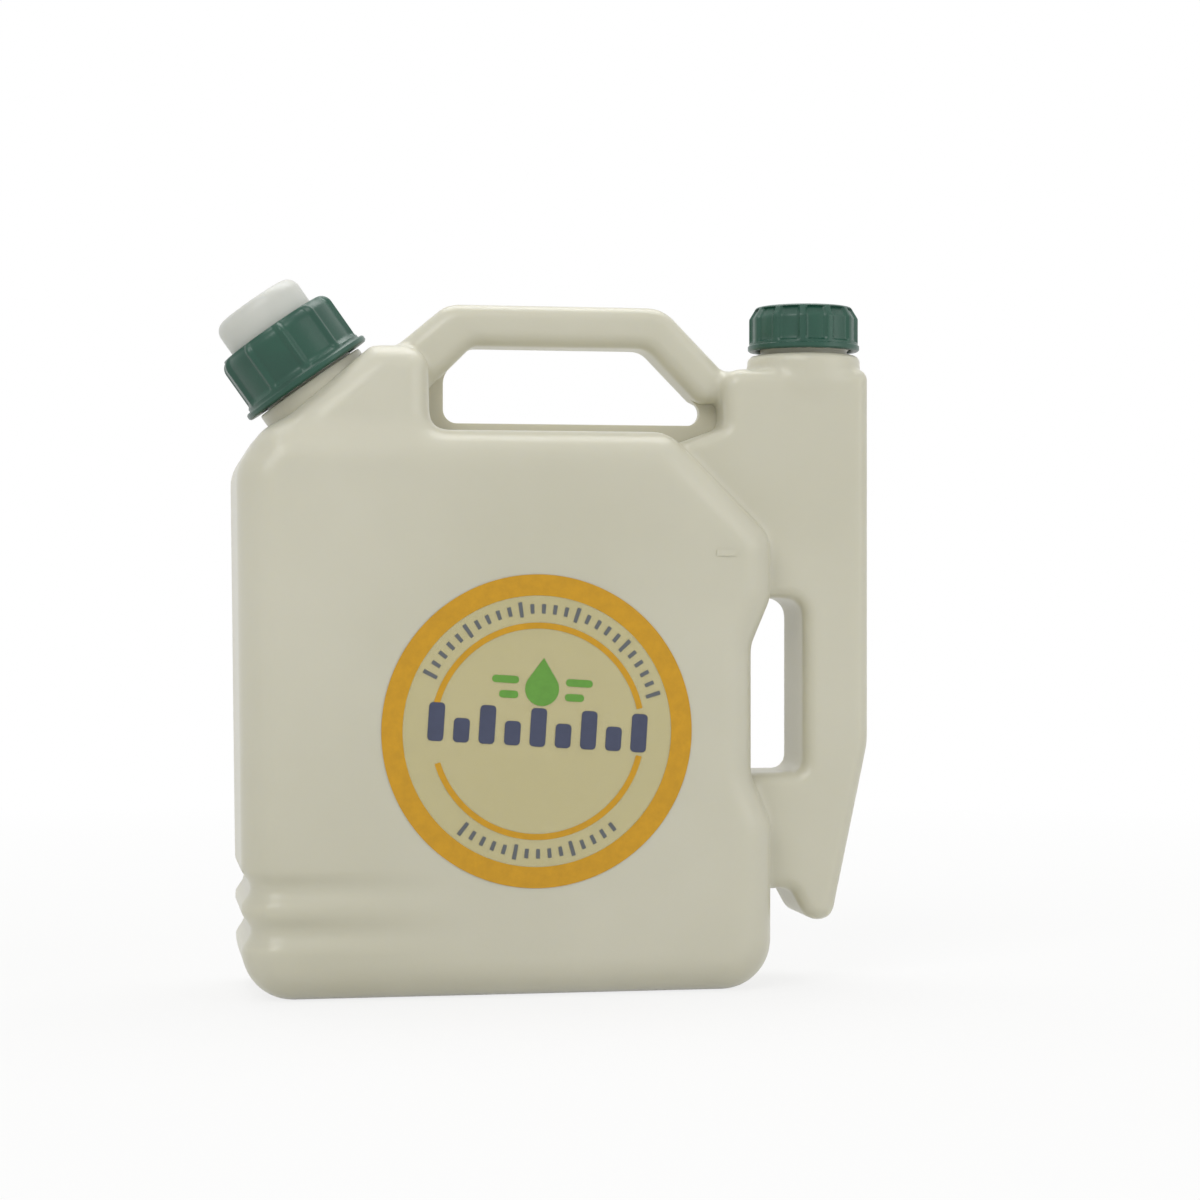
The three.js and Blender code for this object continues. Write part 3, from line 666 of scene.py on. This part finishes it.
linerLow = collarTop + oilSize["lip"] + 0.3
linerProfile = [(0, linerLow), (16.7, linerLow), (16.9, linerLow + 0.2), (16.9, linerLow + 1.0),
                (16.7, linerLow + 1.2), (0, linerLow + 1.2)]
oilLiner = turnedObject("oilLiner", linerProfile, oilMatrix, 96)
oilLiner.data.materials.append(sealFoam)
shadeSmooth(oilLiner)
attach(oilLiner, "oil_seal")
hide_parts("oil_cap_liner")
print("oil cap done")


badge = dict(x=-8.8, z=93.8, y=-38.1, lean=-3.7,
             band=(47.6, 55.0), thinRing=(36.0, 38.1), yellow=linear(200, 148, 12), green=linear(96, 152, 56),
             navy=linear(62, 68, 92), grey=linear(92, 96, 100), film=linear(226, 214, 150))


def printInk(name, colour, speck=0.06):
    material, tree, shader = newMaterial(name)
    cloud = noise(tree, 240.0, 4, 0.7)
    pale = tuple(min(1, c * (1 + speck)) for c in colour)
    deep = tuple(c * (1 - speck) for c in colour)
    tint = ramp(tree, cloud.outputs["Fac"], [(0.35, deep), (0.65, pale)])
    tree.links.new(tint.outputs["Color"], shader.inputs["Base Color"])
    shader.inputs["Roughness"].default_value = 0.45
    return material


def printBand(inner, outer, startDeg, endDeg, front, back, step=2.0):
    steps = max(1, math.ceil(abs(endDeg - startDeg) / step))
    verts, faces = [], []
    full = abs(endDeg - startDeg) > 359.9
    for k in range(steps if full else steps + 1):
        a = math.radians(startDeg + (endDeg - startDeg) * k / steps)
        for r, depth in ((inner, front), (outer, front), (outer, back), (inner, back)):
            verts.append((r * math.cos(a), depth, r * math.sin(a)))
    count = steps if full else steps + 1
    for k in range(steps):
        a, b = 4 * k, 4 * ((k + 1) % count)
        faces += [(a, b, b + 1, a + 1), (a + 1, b + 1, b + 2, a + 2),
                  (a + 2, b + 2, b + 3, a + 3), (a + 3, b + 3, b, a)]
    if not full:
        end = 4 * steps
        faces += [(0, 1, 2, 3), (end + 3, end + 2, end + 1, end)]
    return verts, faces


def printObject(name, shapes, material):
    verts, faces = [], []
    for shapeVerts, shapeFaces in shapes:
        start = len(verts)
        verts += [(badge["x"] + vx, badge["y"] + vy, badge["z"] + vz) for vx, vy, vz in shapeVerts]
        faces += [tuple(i + start for i in f) for f in shapeFaces]
    obj = meshObject(name, verts, faces)
    work = bmesh.new()
    work.from_mesh(obj.data)
    bmesh.ops.recalc_face_normals(work, faces=work.faces)
    work.to_mesh(obj.data)
    work.free()
    obj.data.materials.append(material)
    return obj


def leaned(points):
    a = math.radians(badge["lean"])
    return [(px * math.cos(a) - pz * math.sin(a), px * math.sin(a) + pz * math.cos(a)) for px, pz in points]


def roundedBar(x, z, width, height, radius):
    out = []
    for cx, cz, start in ((width / 2, height / 2, 0), (-width / 2, height / 2, 90),
                          (-width / 2, -height / 2, 180), (width / 2, -height / 2, 270)):
        ox = cx - math.copysign(radius, cx)
        oz = cz - math.copysign(radius, cz)
        out += [(x + px, z + pz) for px, pz in arcRun(ox, oz, radius, start, start + 90, 3)]
    return out


def drop(x, z, size):
    out = [(x, z + size * 1.45)]
    for k in range(21):
        a = math.radians(30 - 240 * k / 20)
        out.append((x + size * math.cos(a) * 0.86, z + size * math.sin(a) * 0.86 - size * 0.1))
    return out[::-1]


filmMaterial = printInk("print_film", badge["film"], 0.03)
filmMaterial.node_tree.nodes["Principled BSDF"].inputs["Alpha"].default_value = 0.26
film = printObject("printFilm", [printBand(0.4, 54.6, 0, 360, -0.06, -0.02)], filmMaterial)
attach(film, "bottle")
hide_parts("front_label")

bandInk = printInk("print_yellow", badge["yellow"])
gapLow, gapHigh = -14.0, 12.0      # the bars break the thin ring here
yellowParts = [printBand(*badge["band"], 0, 360, -0.16, -0.08),
               printBand(*badge["thinRing"], gapHigh, 180 - gapHigh + 3, -0.16, -0.08),
               printBand(*badge["thinRing"], 180 - gapLow + 3, 360 + gapLow, -0.16, -0.08)]
yellowPrint = printObject("printYellow", yellowParts, bandInk)
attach(yellowPrint, "bottle")

greenParts = [prismParts(leaned(drop(0.5, 15.6, 7.0)), -0.16, -0.08),
              prismParts(leaned(roundedBar(-12.6, 17.6, 9.5, 2.6, 1.2)), -0.16, -0.08),
              prismParts(leaned(roundedBar(-11.2, 12.4, 6.8, 2.6, 1.2)), -0.16, -0.08),
              prismParts(leaned(roundedBar(13.6, 17.6, 9.5, 2.6, 1.2)), -0.16, -0.08),
              prismParts(leaned(roundedBar(12.2, 12.4, 6.8, 2.6, 1.2)), -0.16, -0.08)]
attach(printObject("printGreen", greenParts, printInk("print_green", badge["green"])), "bottle")

bars = dict(count=9, left=-36.0, pitch=9.0, foot=-5.4, width=5.6, tall=13.5, short=8.5, round=1.4)
navyParts = []
for k in range(bars["count"]):
    height = bars["short"] if k % 2 else bars["tall"]
    across = bars["left"] + bars["pitch"] * k
    bar = roundedBar(across, bars["foot"] + height / 2, bars["width"], height, bars["round"])
    navyParts.append(prismParts(leaned(bar), -0.2, -0.12))
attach(printObject("printBars", navyParts, printInk("print_navy", badge["navy"])), "bottle")

# fine ticks round the badge, every fifth one longer
ticks = dict(runs=((152, 17, 26), (232, 308, 15)),      # start, end and count
             longReach=(40.3, 45.6), reach=(41.3, 44.6), halfWidth=0.9)
greyParts = []
for start, end, count in ticks["runs"]:
    for k in range(count):
        a = start + (end - start) * k / (count - 1)
        inner, outer = ticks["reach"] if k % 5 else ticks["longReach"]
        half = ticks["halfWidth"]
        greyParts.append(printBand(inner, outer, a - half, a + half, -0.16, -0.08))
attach(printObject("printTicks", greyParts, printInk("print_grey", badge["grey"])), "bottle")
print("print done")


studio = dict(floor=linear(238, 238, 236), worldLight=0.44, key=15.5, fill=6.0, rim=12.0,
              floorGlow=0.8, glowStart=0.22, glowEnd=0.9)

floorMesh = bpy.data.meshes.new("studioFloor")
floorMesh.from_pydata([(-6, -6, 0), (6, -6, 0), (6, 6, 0), (-6, 6, 0)], [], [(0, 1, 2, 3)])
floor = bpy.data.objects.new("studioFloor", floorMesh)
bpy.context.scene.collection.objects.link(floor)


def seenRay(tree):
    # 1 for rays from the camera and those that glance off or pass through pieces
    path = tree.nodes.new("ShaderNodeLightPath")
    sums = path.outputs["Is Camera Ray"]
    for other in ("Is Glossy Ray", "Is Transmission Ray"):
        add = tree.nodes.new("ShaderNodeMath")
        add.operation = "MAXIMUM"
        tree.links.new(sums, add.inputs[0])
        tree.links.new(path.outputs[other], add.inputs[1])
        sums = add.outputs[0]
    return sums


floorMaterial = bpy.data.materials.new("studio_floor")
floorMaterial.use_nodes = True
tree = floorMaterial.node_tree
tree.nodes.clear()
out = tree.nodes.new("ShaderNodeOutputMaterial")
plain = tree.nodes.new("ShaderNodeBsdfDiffuse")
plain.inputs["Color"].default_value = (*studio["floor"], 1)
white = tree.nodes.new("ShaderNodeEmission")
white.inputs["Strength"].default_value = 1.0
mix = tree.nodes.new("ShaderNodeMixShader")
# the floor fades to plain white away from the bottle, so that no edge of it shows
place = tree.nodes.new("ShaderNodeTexCoord")
away = tree.nodes.new("ShaderNodeVectorMath")
away.operation = "LENGTH"
tree.links.new(place.outputs["Object"], away.inputs[0])
glow = tree.nodes.new("ShaderNodeMapRange")
glow.inputs["From Min"].default_value = studio["glowStart"]
glow.inputs["From Max"].default_value = studio["glowEnd"]
glow.inputs["To Min"].default_value = studio["floorGlow"]
glow.inputs["To Max"].default_value = 1.0
tree.links.new(away.outputs["Value"], glow.inputs["Value"])
scale = tree.nodes.new("ShaderNodeMath")
scale.operation = "MULTIPLY"
tree.links.new(glow.outputs["Result"], scale.inputs[1])
tree.links.new(seenRay(tree), scale.inputs[0])
tree.links.new(scale.outputs[0], mix.inputs["Fac"])
tree.links.new(plain.outputs[0], mix.inputs[1])
tree.links.new(white.outputs[0], mix.inputs[2])
tree.links.new(mix.outputs[0], out.inputs["Surface"])
floorMesh.materials.append(floorMaterial)

world = bpy.data.worlds.new("studioWorld")
bpy.context.scene.world = world
world.use_nodes = True
tree = world.node_tree
tree.nodes.clear()
out = tree.nodes.new("ShaderNodeOutputWorld")
light = tree.nodes.new("ShaderNodeBackground")
light.inputs["Strength"].default_value = studio["worldLight"]
seen = tree.nodes.new("ShaderNodeBackground")
mix = tree.nodes.new("ShaderNodeMixShader")
seen.inputs["Color"].default_value = (1, 1, 1, 1)
light.inputs["Color"].default_value = (1, 1, 1, 1)
tree.links.new(seenRay(tree), mix.inputs["Fac"])
tree.links.new(light.outputs[0], mix.inputs[1])
tree.links.new(seen.outputs[0], mix.inputs[2])
tree.links.new(mix.outputs[0], out.inputs["Surface"])


def softbox(name, place, target, size, power):
    lamp = bpy.data.lights.new(name, "AREA")
    lamp.shape = "RECTANGLE"
    lamp.size, lamp.size_y = size
    lamp.energy = power
    obj = bpy.data.objects.new(name, lamp)
    obj.location = place
    obj.rotation_euler = (Vector(target) - Vector(place)).to_track_quat("-Z", "Y").to_euler()
    bpy.context.scene.collection.objects.link(obj)


softbox("keyLight", (-0.9, -1.5, 1.6), (0, 0, 0.12), (1.2, 1.2), studio["key"])
softbox("fillLight", (1.5, -1.1, 0.8), (0, 0, 0.12), (1.2, 1.2), studio["fill"])
softbox("topLight", (0.1, 0.5, 1.6), (0, 0, 0.15), (1.4, 0.9), studio["rim"])

view = dict(turn=10.0, height=139.8, aimX=20.0, distance=1000.0, focalPixels=2732.0)
camera = bpy.data.objects.new("camera", bpy.data.cameras.new("camera"))
bpy.context.scene.collection.objects.link(camera)
turn = math.radians(view["turn"])
camera.location = ((view["aimX"] - view["distance"] * math.sin(turn)) * mm,
                   -view["distance"] * math.cos(turn) * mm, view["height"] * mm)
camera.rotation_euler = (math.pi / 2, 0, -turn)
camera.data.sensor_width = 36.0
camera.data.lens = 36.0 * view["focalPixels"] / 1200
camera.data.dof.use_dof = False
bpy.context.scene.camera = camera
bpy.context.scene.view_settings.view_transform = "Standard"
print("studio done")

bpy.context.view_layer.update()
